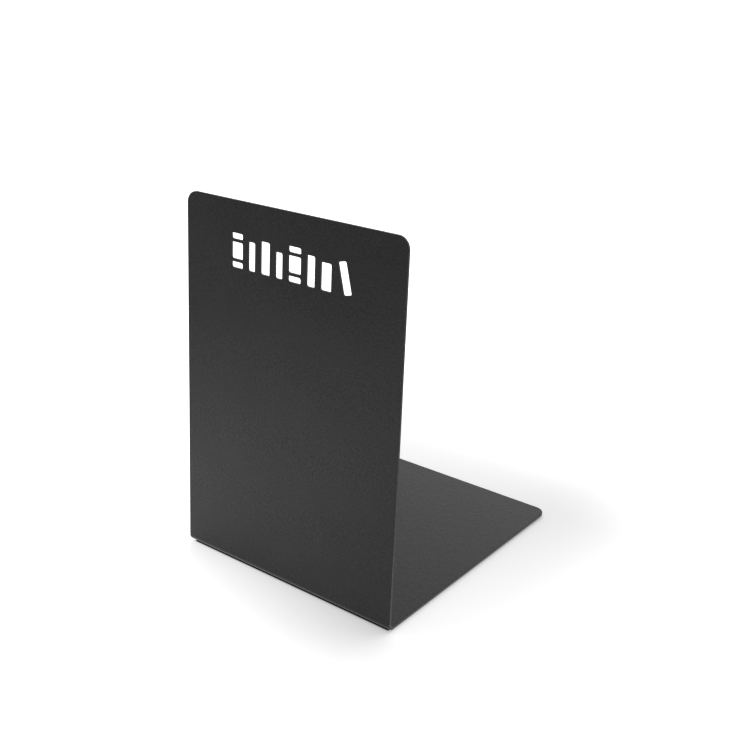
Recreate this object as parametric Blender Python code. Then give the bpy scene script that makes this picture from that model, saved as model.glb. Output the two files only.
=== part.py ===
"""A bookend folded from one sheet of steel, standing on four non-slip pads.

Metres, +Z up. X runs across the sheet. Y runs from the upright towards the end of the
base, which goes under the books. Z = 0 is the surface that the pads stand on, and the
origin is under the middle of the bounding box.
"""

import math

import bmesh
import bpy
from mathutils import Matrix, Vector

# The folded sheet
WIDTH = 0.120
DEPTH = 0.1365
HEIGHT = 0.1725  # from the base's underside to the top of the upright
SHEET = 0.0015
INNER_BEND_RADIUS = SHEET
OUTER_BEND_RADIUS = INNER_BEND_RADIUS + SHEET
CORNER_RADIUS = 0.0055
LEAN = math.radians(1.1)  # of the upright, towards the books

# The row of book spines pierced through the upright
ROW_TOP_MARGIN = 0.0145  # from the upright's top edge to the tallest spine
ROW_WIDTH = 0.0667
SPINE_CORNER_RADIUS = 0.0008
BAND_WIDTH = 0.0013  # of a strip of steel left across a banded spine
BAND_INSET = 0.0027  # from a banded spine's end to its band
LAST_SPINE_TILT = math.radians(14)
# Each spine's width and height, and whether it has a band near each end
SPINES = (
    (0.0068, 0.0155, True),
    (0.0042, 0.0130, False),
    (0.0054, 0.0145, False),
    (0.0042, 0.0115, False),
    (0.0072, 0.0155, True),
    (0.0046, 0.0135, False),
    (0.0058, 0.0120, False),
    (0.0046, 0.0140, False),
)

# The pads under the base
PAD_DIAMETER = 0.012
PAD_THICKNESS = 0.0005
PAD_INSET = 0.013  # from the sheet's edges to the pad's centre
CONTACT_GAP = 0.0003

# Facets
CORNER_SEGMENTS = 10
BEND_SEGMENTS = 12
SPINE_CORNER_SEGMENTS = 3
PAD_SEGMENTS = 48
SHARP_ANGLE = math.radians(35)

# Places that follow from the dimensions
BASE_UNDERSIDE = PAD_THICKNESS + CONTACT_GAP
BEND_CENTRE = Vector((0.0, -DEPTH / 2 + OUTER_BEND_RADIUS, BASE_UNDERSIDE + OUTER_BEND_RADIUS))
UPRIGHT_OUTWARD = Vector((0.0, -math.cos(LEAN), math.sin(LEAN)))
UPRIGHT_UP = Vector((0.0, math.sin(LEAN), math.cos(LEAN)))
UPRIGHT_BOTTOM = BEND_CENTRE + OUTER_BEND_RADIUS * UPRIGHT_OUTWARD
UPRIGHT_LENGTH = (BASE_UNDERSIDE + HEIGHT - UPRIGHT_BOTTOM.z) / UPRIGHT_UP.z
UPRIGHT_TOP = UPRIGHT_BOTTOM + UPRIGHT_LENGTH * UPRIGHT_UP


def clear_scene():
    for old in list(bpy.data.objects):
        bpy.data.objects.remove(old, do_unlink=True)


def make_material(name, colour, roughness, metallic=0.0):
    material = bpy.data.materials.new(name)
    material.use_nodes = True
    shader = material.node_tree.nodes["Principled BSDF"]
    shader.inputs["Base Color"].default_value = (*colour, 1.0)
    shader.inputs["Roughness"].default_value = roughness
    shader.inputs["Metallic"].default_value = metallic
    return material


def make_object(name, mesh, parent):
    piece = bpy.data.objects.new(name, mesh)
    bpy.context.scene.collection.objects.link(piece)
    piece.parent = parent
    return piece


def mesh_from(bm, name):
    """Turn a bmesh into a mesh whose faces point out."""
    bmesh.ops.recalc_face_normals(bm, faces=bm.faces)
    mesh = bpy.data.meshes.new(name)
    bm.to_mesh(mesh)
    bm.free()
    return mesh


def corner_sections():
    """Distance from a rounded end, and half the sheet's width there, inwards from the end."""
    sections = []
    for step in range(CORNER_SEGMENTS + 1):
        angle = math.pi / 2 * step / CORNER_SEGMENTS
        distance = CORNER_RADIUS * (1 - math.cos(angle))
        half_width = WIDTH / 2 - CORNER_RADIUS * (1 - math.sin(angle))
        sections.append((distance, half_width))
    return sections


def sheet_sections():
    """Point on the outer face, outward normal and half width, from the top round to the end."""
    sections = []
    for distance, half_width in corner_sections():
        sections.append((UPRIGHT_TOP - distance * UPRIGHT_UP, UPRIGHT_OUTWARD, half_width))
    first_angle = math.pi - LEAN
    last_angle = 1.5 * math.pi
    for step in range(BEND_SEGMENTS + 1):
        angle = first_angle + (last_angle - first_angle) * step / BEND_SEGMENTS
        outward = Vector((0.0, math.cos(angle), math.sin(angle)))
        sections.append((BEND_CENTRE + OUTER_BEND_RADIUS * outward, outward, WIDTH / 2))
    down = Vector((0.0, 0.0, -1.0))
    for distance, half_width in reversed(corner_sections()):
        sections.append((Vector((0.0, DEPTH / 2 - distance, BASE_UNDERSIDE)), down, half_width))
    return sections


def make_sheet(parent, material):
    """Loft the sheet's rectangular cross-section along the upright, the bend and the base."""
    bm = bmesh.new()
    rings = []
    for outer, outward, half_width in sheet_sections():
        side = Vector((half_width, 0.0, 0.0))
        inner = outer - SHEET * outward
        corners = (outer - side, outer + side, inner + side, inner - side)
        rings.append([bm.verts.new(corner) for corner in corners])
    for ring, following in zip(rings, rings[1:]):
        for here in range(4):
            after = (here + 1) % 4
            bm.faces.new((ring[here], ring[after], following[after], following[here]))
    bm.faces.new(rings[0])
    bm.faces.new(rings[-1])
    mesh = mesh_from(bm, "folded_sheet")
    mesh.shade_smooth()
    mesh.set_sharp_from_angle(angle=SHARP_ANGLE)
    mesh.materials.append(material)
    return make_object("folded_sheet", mesh, parent)


def rounded_rectangle(width, low, high):
    """Outline of a rounded rectangle that stands between two heights, centred on x = 0."""
    radius = SPINE_CORNER_RADIUS
    x = width / 2 - radius
    centres = ((x, low + radius), (x, high - radius), (-x, high - radius), (-x, low + radius))
    points = []
    for quarter, (centre_x, centre_y) in enumerate(centres):
        for step in range(SPINE_CORNER_SEGMENTS + 1):
            angle = math.pi / 2 * (quarter - 1 + step / SPINE_CORNER_SEGMENTS)
            points.append((centre_x + radius * math.cos(angle), centre_y + radius * math.sin(angle)))
    return points


def spine_openings(width, height, banded):
    """Outlines of one spine's openings: one, or three with bands of steel between them."""
    if not banded:
        return [rounded_rectangle(width, 0.0, height)]
    band_far_side = BAND_INSET + BAND_WIDTH
    foot = rounded_rectangle(width, 0.0, BAND_INSET)
    middle = rounded_rectangle(width, band_far_side, height - band_far_side)
    head = rounded_rectangle(width, height - BAND_INSET, height)
    return [foot, middle, head]


def tilted_spine_width():
    """Room that the leaning last spine takes up along the row."""
    width, height, _ = SPINES[-1]
    return width * math.cos(LAST_SPINE_TILT) + height * math.sin(LAST_SPINE_TILT)


def spine_places():
    """Place of each spine on the shelf line: in the row, the last one leaning on the rest."""
    upright_widths = [width for width, _, _ in SPINES[:-1]]
    gap = (ROW_WIDTH - sum(upright_widths) - tilted_spine_width()) / (len(SPINES) - 1)
    places = []
    left = -ROW_WIDTH / 2
    for width in upright_widths:
        places.append(Matrix.Translation((left + width / 2, 0.0, 0.0)))
        left += width + gap
    width, height, _ = SPINES[-1]
    foot = Matrix.Translation((left + height * math.sin(LAST_SPINE_TILT), 0.0, 0.0))
    tilt = Matrix.Rotation(LAST_SPINE_TILT, 4, "Z")
    places.append(foot @ tilt @ Matrix.Translation((width / 2, 0.0, 0.0)))
    return places


def add_prism(bm, outline, half_depth, place):
    """Add a closed prism on an outline, running both ways along its normal."""
    back = [bm.verts.new(place @ Vector((x, y, -half_depth))) for x, y in outline]
    front = [bm.verts.new(place @ Vector((x, y, half_depth))) for x, y in outline]
    bm.faces.new(back)
    bm.faces.new(front)
    for here in range(len(outline)):
        after = (here + 1) % len(outline)
        bm.faces.new((back[here], back[after], front[after], front[here]))


def pierce_spines(sheet, parent):
    """Cut the row of spines through the upright, square to its leaning face."""
    tallest = max(height for _, height, _ in SPINES)
    shelf_line = UPRIGHT_TOP - (ROW_TOP_MARGIN + tallest) * UPRIGHT_UP
    face_axes = Matrix((Vector((1.0, 0.0, 0.0)), UPRIGHT_UP, UPRIGHT_OUTWARD)).transposed()
    bm = bmesh.new()
    for (width, height, banded), place in zip(SPINES, spine_places()):
        for outline in spine_openings(width, height, banded):
            add_prism(bm, outline, 2 * SHEET, place)
    cutter = make_object("spine_cutter", mesh_from(bm, "spine_cutter"), parent)
    cutter.matrix_local = Matrix.Translation(shelf_line) @ face_axes.to_4x4()
    cutter.hide_render = True
    cutter.display_type = "WIRE"
    cut = sheet.modifiers.new("spines", "BOOLEAN")
    cut.operation = "DIFFERENCE"
    cut.solver = "EXACT"
    cut.object = cutter


def make_pads(parent, material):
    """Stick four round pads under the base, near its corners."""
    bm = bmesh.new()
    bmesh.ops.create_cone(
        bm,
        cap_ends=True,
        segments=PAD_SEGMENTS,
        radius1=PAD_DIAMETER / 2,
        radius2=PAD_DIAMETER / 2,
        depth=PAD_THICKNESS,
    )
    mesh = mesh_from(bm, "pad")
    mesh.shade_smooth()
    mesh.set_sharp_from_angle(angle=SHARP_ANGLE)
    mesh.materials.append(material)
    for row, y_side in (("front", -1), ("back", 1)):
        for column, x_side in (("left", -1), ("right", 1)):
            pad = make_object(f"pad_{row}_{column}", mesh, parent)
            x = x_side * (WIDTH / 2 - PAD_INSET)
            y = y_side * (DEPTH / 2 - PAD_INSET)
            pad.location = (x, y, PAD_THICKNESS / 2)


def main():
    clear_scene()
    black_powder_coat = make_material("black_powder_coat", (0.030, 0.030, 0.031), 0.55)
    black_rubber = make_material("black_rubber", (0.018, 0.018, 0.018), 0.85)
    bookend = make_object("bookend", None, None)
    sheet = make_sheet(bookend, black_powder_coat)
    pierce_spines(sheet, bookend)
    make_pads(bookend, black_rubber)


main()
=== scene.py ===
"""The looks of the bookend: a powder-coated folded steel sheet on four rubber pads.

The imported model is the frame. The sheet and the pads are rebuilt here as finer meshes in
the places that the frame gives. The sheet's cut edges are rounded, and the pads get a
rounded rim, grooves and the adhesive that holds them. Lengths are in metres.
"""

import math

import bmesh
import bpy
from mathutils import Matrix, Vector


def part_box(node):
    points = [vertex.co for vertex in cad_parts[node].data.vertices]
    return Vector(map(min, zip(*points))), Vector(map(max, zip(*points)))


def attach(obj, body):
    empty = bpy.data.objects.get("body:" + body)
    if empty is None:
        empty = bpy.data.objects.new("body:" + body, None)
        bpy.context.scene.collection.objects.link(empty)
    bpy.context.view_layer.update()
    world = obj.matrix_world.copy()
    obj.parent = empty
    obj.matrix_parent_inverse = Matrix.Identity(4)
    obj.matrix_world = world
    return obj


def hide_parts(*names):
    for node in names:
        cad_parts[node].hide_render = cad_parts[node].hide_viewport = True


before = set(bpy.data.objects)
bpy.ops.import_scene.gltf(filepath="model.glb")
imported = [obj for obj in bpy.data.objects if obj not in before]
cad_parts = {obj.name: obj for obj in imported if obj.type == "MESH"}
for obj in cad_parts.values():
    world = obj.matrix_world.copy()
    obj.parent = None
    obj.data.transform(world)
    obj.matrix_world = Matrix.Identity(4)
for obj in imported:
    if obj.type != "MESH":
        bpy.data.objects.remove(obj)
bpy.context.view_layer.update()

# The sheet: its box and width come from the frame, and the other sizes are the CAD's
SHEET_LOW, SHEET_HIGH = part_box("folded_sheet")
WIDTH = SHEET_HIGH.x - SHEET_LOW.x
THICKNESS = 0.0015
INNER_BEND_RADIUS = THICKNESS
OUTER_BEND_RADIUS = INNER_BEND_RADIUS + THICKNESS
CORNER_RADIUS = 0.0055
LEAN = math.radians(1.1)

# The row of book spines pierced through the upright
ROW_TOP_MARGIN = 0.0145
ROW_WIDTH = 0.0667
SPINE_CORNER_RADIUS = 0.0008
BAND_WIDTH = 0.0013
BAND_INSET = 0.0027
LAST_SPINE_TILT = math.radians(14)
# Each spine's width and height, and whether it has a band near each end
SPINES = (
    (0.0068, 0.0155, True),
    (0.0042, 0.0130, False),
    (0.0054, 0.0145, False),
    (0.0042, 0.0115, False),
    (0.0072, 0.0155, True),
    (0.0046, 0.0135, False),
    (0.0058, 0.0120, False),
    (0.0046, 0.0140, False),
)

# Fine detail of the sheet: rounded edges, which the CAD leaves out, and finer curves
EDGE_ROUNDING = 0.00028  # of every cut edge, where the coating draws over it
EDGE_SEGMENTS = 4
CORNER_SEGMENTS = 20
SPINE_CORNER_SEGMENTS = 6
BEND_SEGMENTS = 24
BEND_CUT_TOLERANCE = 1e-8

# Places along the sheet, measured from the upright's top edge round to the base's end
BEND_CENTRE = Vector((0.0, SHEET_LOW.y + OUTER_BEND_RADIUS, SHEET_LOW.z + OUTER_BEND_RADIUS))
UPRIGHT_OUTWARD = Vector((0.0, -math.cos(LEAN), math.sin(LEAN)))
UPRIGHT_UP = Vector((0.0, math.sin(LEAN), math.cos(LEAN)))
UPRIGHT_BOTTOM = BEND_CENTRE + OUTER_BEND_RADIUS * UPRIGHT_OUTWARD
BEND_START = (SHEET_HIGH.z - UPRIGHT_BOTTOM.z) / UPRIGHT_UP.z
BEND_ANGLE = math.pi / 2 + LEAN
BEND_END = BEND_START + OUTER_BEND_RADIUS * BEND_ANGLE
SHEET_END = BEND_END + SHEET_HIGH.y - BEND_CENTRE.y

# A pad, from its underside up
PAD_RIM_ROUNDING = 0.00018
PAD_RIM_STEPS = 5
PAD_GROOVES = (0.0018, 0.0031, 0.0044)  # radius of each groove in the underside
GROOVE_WIDTH = 0.0004  # at its mouth, and half of that at its bottom
GROOVE_DEPTH = 0.0001
ADHESIVE_INSET = 0.0002
PAD_SEGMENTS = 96
PAD_SHARP_ANGLE = math.radians(40)

# The powder coat: a noise's scale counts its features per metre, and a ramp's stops are
# each a noise value and a grey
GRAIN_SCALE = 1500.0
PEEL_SCALE = 620.0
CLOUD_SCALE = 35.0
CLOUD_SHARE = 0.25  # of the mottling, which is otherwise the grain's
CLOUD_RANGE = (0.3, 0.7)  # noise values over which the roughness changes
COAT_GREYS = ((0.30, 0.011), (0.70, 0.035))
COAT_ROUGHNESS = (0.28, 0.35)
COAT_SPECULAR = 0.18
COAT_BUMP_STRENGTH = 0.9
COAT_BUMP_HEIGHT = 0.00007
# Lighter grey on the rounded cut edges, in patches: partly thinner, worn coat and partly a painted
# highlight along the edges
EDGE_WEAR_AND_HIGHLIGHT_COLOUR = (0.06, 0.06, 0.062, 1.0)

# The rubber of the pads
MOULD_SCALE = 3200.0
DUST_SCALE = 420.0
RUBBER_GREYS = ((0.40, 0.016), (0.75, 0.045))
RUBBER_ROUGHNESS = (0.78, 0.95)
RUBBER_BUMP_STRENGTH = 0.5
RUBBER_BUMP_HEIGHT = 0.00005

# The camera
CAMERA_AIM = Vector((-0.0036, 0.0, 0.1189))
CAMERA_DISTANCE = 0.528
CAMERA_AZIMUTH = math.radians(36.65)
CAMERA_ELEVATION = math.radians(17.88)
CAMERA_ROLL = math.radians(1.77)
CAMERA_LENS = 53.87  # mm, on a sensor 36 mm wide
CAMERA_SHIFT = 0.1
CAMERA_CLIP_START = 0.01

# The studio's floor, a light table whose glow is strongest in a pool
FLOOR_HALF_SIZE = 6.0
TABLE_WHITE = 0.86  # base colour, which also scales the glow
TABLE_ROUGHNESS = 0.7
TABLE_SPECULAR = 0.2
TABLE_GLOW = 0.36
POOL_GLOW = 1.52
POOL_CENTRE = (-0.11, -0.14, 0.0)
POOL_RADIUS = 0.33
GLOW_SEEN = 0.75  # part of the glow that the camera sees; all of it lights the bookend

# Painted shade round the bookend: the glow fades towards a zone under it as a painted contact
# shade, and the table is painted black under the sheet's edge as a painted shadow. Distances are
# out from the zone's edge
PAINTED_SHADE_INSET = 0.010  # of the painted shade zone's edge from the bookend's
PAINTED_SHADE_FALLOFF = 0.003  # where half of the glow is back
PAINTED_SHADOW_UNTIL = 0.0079  # up to where the table is painted black, a painted shadow, which is still under the sheet
PAINTED_SHADOW_GONE_FROM = 0.0086
CLEAR_NEAR = 0.012  # from where the camera sees the table ever whiter, up to CLEAR_FAR
CLEAR_FAR = 0.16
CLEAR_GLOW = 1.0  # what the camera sees there, on top of the glow

# The studio's surround, dim in front and bright behind, and its overhead light
SURROUND_IN_FRONT = 0.08
SURROUND_BEHIND = 1.85
SURROUND_BRIGHT_SIDE = (0.0, 1.0, 0.1)
OVERHEAD_SIZE = 5.0
OVERHEAD_HEIGHT = 3.0
OVERHEAD_POWER = 54.0

WHITE = (1.0, 1.0, 1.0, 1.0)


def rounded_rectangle(width, low, high, radius, segments):
    """Points and outward normals of a rounded rectangle between two heights, centred on x = 0."""
    x = width / 2 - radius
    centres = ((x, low + radius), (x, high - radius), (-x, high - radius), (-x, low + radius))
    outline = []
    for quarter, centre in enumerate(centres):
        for step in range(segments + 1):
            angle = math.pi / 2 * (quarter - 1 + step / segments)
            normal = Vector((math.cos(angle), math.sin(angle)))
            outline.append((Vector(centre) + radius * normal, normal))
    return outline


def edge_profile():
    """Steps across the rounded edge, from the sheet's outer face to its inner one.

    Each has its inset from the cut edge, its depth from the outer face, and its normal's
    parts sideways and inward.
    """
    outer = []
    for step in range(EDGE_SEGMENTS + 1):
        angle = math.pi / 2 * step / EDGE_SEGMENTS
        inset = EDGE_ROUNDING * (1 - math.sin(angle))
        depth = EDGE_ROUNDING * (1 - math.cos(angle))
        outer.append((inset, depth, math.sin(angle), -math.cos(angle)))
    inner = []
    for inset, depth, sideways, inward in reversed(outer):
        inner.append((inset, THICKNESS - depth, sideways, -inward))
    return outer + inner


def edge_rings(width, low, high, radius, segments, growth):
    """A rounded rectangle for each step of the edge profile, with that step.

    Growth is -1 for the blank's outline, which shrinks by the inset, and 1 for an opening.
    """
    rings = []
    for step in edge_profile():
        out = growth * step[0]
        outline = rounded_rectangle(width + 2 * out, low - out, high + out, radius + out, segments)
        rings.append((outline, step))
    return rings


def spine_openings():
    """Every opening of the row: its place on the shelf line, its width, foot and head."""
    upright_widths = [width for width, _, _ in SPINES[:-1]]
    last_width, last_height, _ = SPINES[-1]
    last_overhang = last_height * math.sin(LAST_SPINE_TILT)
    last_room = last_width * math.cos(LAST_SPINE_TILT) + last_overhang
    gap = (ROW_WIDTH - sum(upright_widths) - last_room) / (len(SPINES) - 1)
    band_far_side = BAND_INSET + BAND_WIDTH
    openings = []
    left = -ROW_WIDTH / 2
    for width, height, banded in SPINES[:-1]:
        place = Matrix.Translation((left + width / 2, 0.0, 0.0))
        if banded:
            openings.append((place, width, 0.0, BAND_INSET))
            openings.append((place, width, band_far_side, height - band_far_side))
            openings.append((place, width, height - BAND_INSET, height))
        else:
            openings.append((place, width, 0.0, height))
        left += width + gap
    foot = Matrix.Translation((left + last_overhang, 0.0, 0.0))
    tilt = Matrix.Rotation(LAST_SPINE_TILT, 4, "Z")
    place = foot @ tilt @ Matrix.Translation((last_width / 2, 0.0, 0.0))
    openings.append((place, last_width, 0.0, last_height))
    return openings


def set_in_blank(outline, place, shelf_line):
    """Move an opening's outline to the blank, where y runs down and normals face the opening."""
    moved = []
    for point, outward in outline:
        spot = place @ point.to_3d()
        turned = place.to_3x3() @ outward.to_3d()
        moved.append((Vector((spot.x, shelf_line - spot.y)), Vector((-turned.x, turned.y))))
    return moved


def add_edge(bm, layers, rings):
    """Skin the rounded edge along one outline and return its loops on both faces of the sheet.

    The rim layer is 0 where the edge meets a face, and 1 on the cut edge itself.
    """
    flat_normal, rim = layers
    made = []
    for outline, (_, depth, sideways, inward) in rings:
        verts = []
        for point, outward in outline:
            vert = bm.verts.new((point.x, point.y, depth))
            vert[flat_normal] = (sideways * outward.x, sideways * outward.y, inward)
            vert[rim] = sideways
            verts.append(vert)
        made.append(verts)
    for ring, following in zip(made, made[1:]):
        for here in range(len(ring)):
            after = (here + 1) % len(ring)
            bm.faces.new((ring[here], ring[after], following[after], following[here]))
    return made[0], made[-1]


def blank_edges(bm, layers):
    """Add the edges of the flat blank: its outline, and each opening of the row."""
    outline_rings = edge_rings(WIDTH, 0.0, SHEET_END, CORNER_RADIUS, CORNER_SEGMENTS, -1)
    loops = [add_edge(bm, layers, outline_rings)]
    shelf_line = ROW_TOP_MARGIN + max(height for _, height, _ in SPINES)
    for place, width, low, high in spine_openings():
        rings = edge_rings(width, low, high, SPINE_CORNER_RADIUS, SPINE_CORNER_SEGMENTS, 1)
        placed = [(set_in_blank(outline, place, shelf_line), step) for outline, step in rings]
        loops.append(add_edge(bm, layers, placed))
    return loops


def fill_face(bm, loops):
    """Fill one face of the blank between its outline and the openings."""
    edges = []
    for loop in loops:
        for here in range(len(loop)):
            after = (here + 1) % len(loop)
            edges.append(bm.edges.get((loop[here], loop[after])))
    bmesh.ops.triangle_fill(bm, use_beauty=True, use_dissolve=False, edges=edges)


def cut_bend_lines(bm):
    """Cut the flat blank across at every segment of the bend, where it will turn."""
    for step in range(BEND_SEGMENTS + 1):
        line = BEND_START + (BEND_END - BEND_START) * step / BEND_SEGMENTS
        bmesh.ops.bisect_plane(
            bm,
            geom=bm.verts[:] + bm.edges[:] + bm.faces[:],
            dist=BEND_CUT_TOLERANCE,
            plane_co=(0.0, line, 0.0),
            plane_no=(0.0, 1.0, 0.0),
        )


def fold_frame(along):
    """Point on the outer face, outward normal and onward direction at a length along the sheet."""
    if along <= BEND_START:
        return UPRIGHT_BOTTOM + (BEND_START - along) * UPRIGHT_UP, UPRIGHT_OUTWARD, -UPRIGHT_UP
    turned = min((along - BEND_START) / OUTER_BEND_RADIUS, BEND_ANGLE)
    angle = math.pi - LEAN + turned
    outward = Vector((0.0, math.cos(angle), math.sin(angle)))
    onward = Vector((0.0, -math.sin(angle), math.cos(angle)))
    beyond = max(0.0, along - BEND_END)
    return BEND_CENTRE + OUTER_BEND_RADIUS * outward + beyond * onward, outward, onward


def fold(bm, flat_normal):
    """Fold the flat blank round the bend, and return each vertex's normal once folded."""
    normals = []
    for vert in bm.verts:
        x, along, depth = vert.co
        point, outward, onward = fold_frame(along)
        vert.co = point - depth * outward + Vector((x, 0.0, 0.0))
        flat = vert[flat_normal]
        normals.append(Vector((flat.x, 0.0, 0.0)) + flat.y * onward - flat.z * outward)
    return [normal.normalized() for normal in normals]


def make_sheet_mesh():
    """The folded sheet, made as the real one is: a blank with its openings, then folded."""
    bm = bmesh.new()
    flat_normal = bm.verts.layers.float_vector.new("flat_normal")
    rim = bm.verts.layers.float.new("rim")
    loops = blank_edges(bm, (flat_normal, rim))
    for side_loops in zip(*loops):
        fill_face(bm, side_loops)
    cut_bend_lines(bm)
    bmesh.ops.recalc_face_normals(bm, faces=bm.faces)
    normals = fold(bm, flat_normal)
    bm.verts.layers.float_vector.remove(flat_normal)
    bmesh.ops.recalc_face_normals(bm, faces=bm.faces)
    mesh = bpy.data.meshes.new("sheet")
    bm.to_mesh(mesh)
    bm.free()
    mesh.shade_smooth()
    mesh.normals_split_custom_set_from_vertices(normals)
    return mesh


def turned_mesh(name, profile):
    """A pad's closed mesh, turned about Z from a profile of (radius, height).

    Both ends of the profile lie on the axis.
    """
    bm = bmesh.new()
    rings = []
    for radius, height in profile:
        if radius == 0.0:
            rings.append([bm.verts.new((0.0, 0.0, height))])
            continue
        ring = []
        for step in range(PAD_SEGMENTS):
            angle = 2 * math.pi * step / PAD_SEGMENTS
            ring.append(bm.verts.new((radius * math.cos(angle), radius * math.sin(angle), height)))
        rings.append(ring)
    for ring, following in zip(rings, rings[1:]):
        for here in range(PAD_SEGMENTS):
            after = (here + 1) % PAD_SEGMENTS
            corners = []
            for loop, index in ((ring, here), (ring, after), (following, after), (following, here)):
                vert = loop[index % len(loop)]
                if vert not in corners:
                    corners.append(vert)
            bm.faces.new(corners)
    bmesh.ops.recalc_face_normals(bm, faces=bm.faces)
    mesh = bpy.data.meshes.new(name)
    bm.to_mesh(mesh)
    bm.free()
    mesh.shade_smooth()
    mesh.set_sharp_from_angle(angle=PAD_SHARP_ANGLE)
    return mesh


def pad_profile(radius, rubber_top, sheet_underside):
    """Grooved underside, rounded rim, and the adhesive disc up to the sheet."""
    profile = [(0.0, 0.0)]
    for groove in PAD_GROOVES:
        profile.append((groove - GROOVE_WIDTH / 2, 0.0))
        profile.append((groove - GROOVE_WIDTH / 4, GROOVE_DEPTH))
        profile.append((groove + GROOVE_WIDTH / 4, GROOVE_DEPTH))
        profile.append((groove + GROOVE_WIDTH / 2, 0.0))
    rim_centre = radius - PAD_RIM_ROUNDING
    for centre_height, start in ((PAD_RIM_ROUNDING, -90), (rubber_top - PAD_RIM_ROUNDING, 0)):
        for step in range(PAD_RIM_STEPS + 1):
            angle = math.radians(start + 90 * step / PAD_RIM_STEPS)
            r = rim_centre + PAD_RIM_ROUNDING * math.cos(angle)
            z = centre_height + PAD_RIM_ROUNDING * math.sin(angle)
            profile.append((r, z))
    profile.append((rim_centre - ADHESIVE_INSET, rubber_top))
    profile.append((rim_centre - ADHESIVE_INSET, sheet_underside))
    profile.append((0.0, sheet_underside))
    return profile


class Nodes:
    """Adds nodes to the tree of a material or world, and returns each one's output socket."""

    def __init__(self, owner):
        owner.use_nodes = True
        self.tree = owner.node_tree

    def fill(self, node, inputs):
        """Set a node's inputs: a socket is linked, and anything else is the input's value."""
        for key, value in inputs.items():
            if isinstance(value, bpy.types.NodeSocket):
                self.tree.links.new(value, node.inputs[key])
            else:
                node.inputs[key].default_value = value

    def add(self, kind, output, inputs=None, **settings):
        """Add a ShaderNode of this kind with its inputs and settings, and return an output."""
        node = self.tree.nodes.new("ShaderNode" + kind)
        for key, value in settings.items():
            setattr(node, key, value)
        self.fill(node, inputs or {})
        return node.outputs[output]

    def noise(self, place, scale, detail):
        return self.add("TexNoise", "Fac", {"Vector": place, "Scale": scale, "Detail": detail})

    def bump(self, height, strength, distance):
        inputs = {"Height": height, "Strength": strength, "Distance": distance}
        return self.add("Bump", "Normal", inputs)

    def grey_ramp(self, value, stops):
        """A ramp between two stops, each a position and a grey."""
        colour = self.add("ValToRGB", "Color", {"Fac": value})
        for element, (position, grey) in zip(colour.node.color_ramp.elements, stops):
            element.position = position
            element.color = (grey, grey, grey, 1.0)
        return colour

    def math(self, operation, *values):
        return self.add("Math", "Value", dict(enumerate(values)), operation=operation)

    def vector_math(self, operation, output, *vectors):
        return self.add("VectorMath", output, dict(enumerate(vectors)), operation=operation)

    def spread(self, value, before, after, **settings):
        """A value moved from one range to another, and kept within the new one."""
        inputs = {
            "Value": value,
            "From Min": before[0],
            "From Max": before[1],
            "To Min": after[0],
            "To Max": after[1],
        }
        return self.add("MapRange", "Result", inputs, **settings)


def new_material(name, make_inputs):
    """A material whose shader gets the inputs that make_inputs builds from nodes."""
    material = bpy.data.materials.new(name)
    nodes = Nodes(material)
    place = nodes.add("TexCoord", "Object")
    nodes.fill(nodes.tree.nodes["Principled BSDF"], make_inputs(nodes, place))
    return material


def powder_coat(nodes, place):
    """Matte black powder coat: fine grain, faint mottling, and a lighter grey in patches over the
    rounded edges, partly thinner coat and partly a painted highlight.
    """
    grain = nodes.noise(place, GRAIN_SCALE, detail=4.0)
    peel = nodes.noise(place, PEEL_SCALE, detail=2.0)
    cloud = nodes.noise(place, CLOUD_SCALE, detail=4.0)
    height = nodes.math("ADD", grain, peel)
    mottle = nodes.add("Mix", "Result", {"Factor": CLOUD_SHARE, "A": grain, "B": cloud})
    colour = nodes.grey_ramp(mottle, COAT_GREYS)
    rim = nodes.add("Attribute", "Fac", attribute_name="rim")
    # Lighter on the cut edges, in patches of the peel noise: partly wear, partly a painted
    # highlight
    edge_wear_and_highlight_blend = {"Factor": nodes.math("MULTIPLY", rim, peel), "A": colour, "B": EDGE_WEAR_AND_HIGHLIGHT_COLOUR}
    return {
        "Base Color": nodes.add("Mix", "Result", edge_wear_and_highlight_blend, data_type="RGBA"),
        "Roughness": nodes.spread(cloud, CLOUD_RANGE, COAT_ROUGHNESS),
        "Specular IOR Level": COAT_SPECULAR,
        "Normal": nodes.bump(height, COAT_BUMP_STRENGTH, COAT_BUMP_HEIGHT),
    }


def rubber(nodes, place):
    """Black rubber with a faint moulded texture, dusty in patches."""
    mould = nodes.noise(place, MOULD_SCALE, detail=2.0)
    dust = nodes.noise(place, DUST_SCALE, detail=5.0)
    return {
        "Base Color": nodes.grey_ramp(dust, RUBBER_GREYS),
        "Roughness": nodes.spread(dust, (0.0, 1.0), RUBBER_ROUGHNESS),
        "Normal": nodes.bump(mould, RUBBER_BUMP_STRENGTH, RUBBER_BUMP_HEIGHT),
    }


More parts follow.
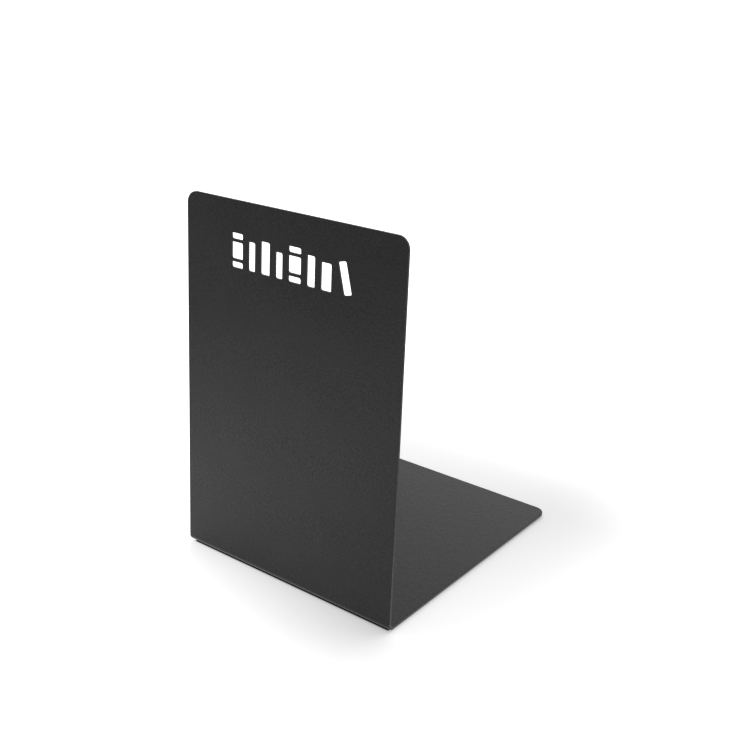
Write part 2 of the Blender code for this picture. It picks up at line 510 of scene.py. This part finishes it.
def light_table(nodes, place):
    """White acrylic lit from below, its glow fading towards the bookend as a painted contact shade,
    and painted black under the sheet's edge as a painted shadow.

    To the camera its glow is dimmer near the bookend, which reads as a soft shade, and
    plain white far from it.
    """
    from_pool = nodes.vector_math("DISTANCE", "Value", place, POOL_CENTRE)
    glow = nodes.spread(
        from_pool,
        (0.0, POOL_RADIUS),
        (POOL_GLOW, TABLE_GLOW),
        interpolation_type="SMOOTHSTEP",
    )
    # The zone of the painted shade and painted shadow, inset from the bookend's edges
    painted_shade_half_size = (SHEET_HIGH.x - PAINTED_SHADE_INSET, SHEET_HIGH.y - PAINTED_SHADE_INSET, 0.0)
    mirrored = nodes.vector_math("ABSOLUTE", "Vector", place)
    past_edges = nodes.vector_math("SUBTRACT", "Vector", mirrored, painted_shade_half_size)
    outside = nodes.vector_math("MAXIMUM", "Vector", past_edges, (0.0, 0.0, 0.0))
    away = nodes.vector_math("LENGTH", "Value", outside)
    # Painted contact shade: the glow fades towards the bookend
    glow_share_past_painted_shade = nodes.math("DIVIDE", away, nodes.math("ADD", away, PAINTED_SHADE_FALLOFF))
    past_side = nodes.add("SeparateXYZ", "X", {"Vector": past_edges})
    past_end = nodes.add("SeparateXYZ", "Y", {"Vector": past_edges})
    squarely_away = nodes.math("MAXIMUM", past_side, past_end)
    # Painted shadow: the table's colour and glow go to black under the sheet's edge
    white_with_painted_shadow = nodes.spread(squarely_away, (PAINTED_SHADOW_UNTIL, PAINTED_SHADOW_GONE_FROM), (0.0, TABLE_WHITE))
    lighting = nodes.math("MULTIPLY", nodes.math("MULTIPLY", glow, white_with_painted_shadow), glow_share_past_painted_shade)

    seen = nodes.add("LightPath", "Is Camera Ray")
    share = nodes.spread(seen, (0.0, 1.0), (1.0, GLOW_SEEN))
    clear = nodes.spread(
        away,
        (CLEAR_NEAR, CLEAR_FAR),
        (0.0, CLEAR_GLOW),
        interpolation_type="SMOOTHSTEP",
    )
    strength = nodes.math("MULTIPLY_ADD", clear, seen, nodes.math("MULTIPLY", lighting, share))
    return {
        # the base colour carries the painted shadow under the sheet's edge
        "Base Color": white_with_painted_shadow,
        "Roughness": TABLE_ROUGHNESS,
        "Specular IOR Level": TABLE_SPECULAR,
        "Emission Color": WHITE,
        "Emission Strength": strength,
    }


def add_object(name, data):
    made = bpy.data.objects.new(name, data)
    bpy.context.scene.collection.objects.link(made)
    return made


def make_sheet():
    mesh = make_sheet_mesh()
    mesh.materials.append(new_material("black_powder_coat", powder_coat))
    sheet = add_object("bookend_sheet", mesh)
    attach(sheet, "root")
    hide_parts("folded_sheet")


def make_pads():
    material = new_material("black_rubber", rubber)
    for row in ("front", "back"):
        for column in ("left", "right"):
            node = f"pad_{row}_{column}"
            low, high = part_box(node)
            radius = (high.x - low.x) / 2
            mesh = turned_mesh(node, pad_profile(radius, high.z - low.z, SHEET_LOW.z - low.z))
            centre = (low + high) / 2
            mesh.transform(Matrix.Translation((centre.x, centre.y, low.z)))
            mesh.materials.append(material)
            pad = add_object(f"rubber_{node}", mesh)
            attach(pad, "root")
            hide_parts(node)


def make_floor():
    bm = bmesh.new()
    bmesh.ops.create_grid(bm, x_segments=1, y_segments=1, size=FLOOR_HALF_SIZE)
    mesh = bpy.data.meshes.new("floor")
    bm.to_mesh(mesh)
    bm.free()
    mesh.materials.append(new_material("light_table", light_table))
    add_object("floor", mesh)


def make_overhead_light():
    """A large square light straight above. An area light points down unless it is turned."""
    data = bpy.data.lights.new("overhead", "AREA")
    data.size = OVERHEAD_SIZE
    data.energy = OVERHEAD_POWER
    lamp = add_object("overhead", data)
    lamp.location.z = OVERHEAD_HEIGHT
    lamp.visible_camera = False


def make_world():
    """A surround that is brightest behind the bookend, and white wherever the camera sees it."""
    world = bpy.data.worlds.new("studio")
    bpy.context.scene.world = world
    nodes = Nodes(world)
    direction = nodes.add("TexCoord", "Generated")
    facing = nodes.vector_math("DOT_PRODUCT", "Value", direction, SURROUND_BRIGHT_SIDE)
    squared = nodes.math("POWER", nodes.math("MAXIMUM", facing, 0.0), 2.0)
    lighting = nodes.spread(squared, (0.0, 1.0), (SURROUND_IN_FRONT, SURROUND_BEHIND))
    seen = nodes.add("LightPath", "Is Camera Ray")
    background = nodes.tree.nodes["Background"]
    nodes.fill(background, {"Color": WHITE, "Strength": nodes.math("MAXIMUM", lighting, seen)})


def make_camera():
    away = Vector((
        math.sin(CAMERA_AZIMUTH) * math.cos(CAMERA_ELEVATION),
        -math.cos(CAMERA_AZIMUTH) * math.cos(CAMERA_ELEVATION),
        math.sin(CAMERA_ELEVATION),
    ))
    data = bpy.data.cameras.new("camera")
    data.lens = CAMERA_LENS
    data.shift_y = -CAMERA_SHIFT
    data.clip_start = CAMERA_CLIP_START
    camera = add_object("camera", data)
    level = (-away).to_track_quat("-Z", "Y").to_matrix()
    roll = Matrix.Rotation(CAMERA_ROLL, 3, "Z")
    place = Matrix.Translation(CAMERA_AIM + CAMERA_DISTANCE * away)
    camera.matrix_world = place @ (level @ roll).to_4x4()
    bpy.context.scene.camera = camera


make_camera()
make_sheet()
make_pads()
make_floor()
make_world()
make_overhead_light()
bpy.context.scene.view_settings.view_transform = "Standard"
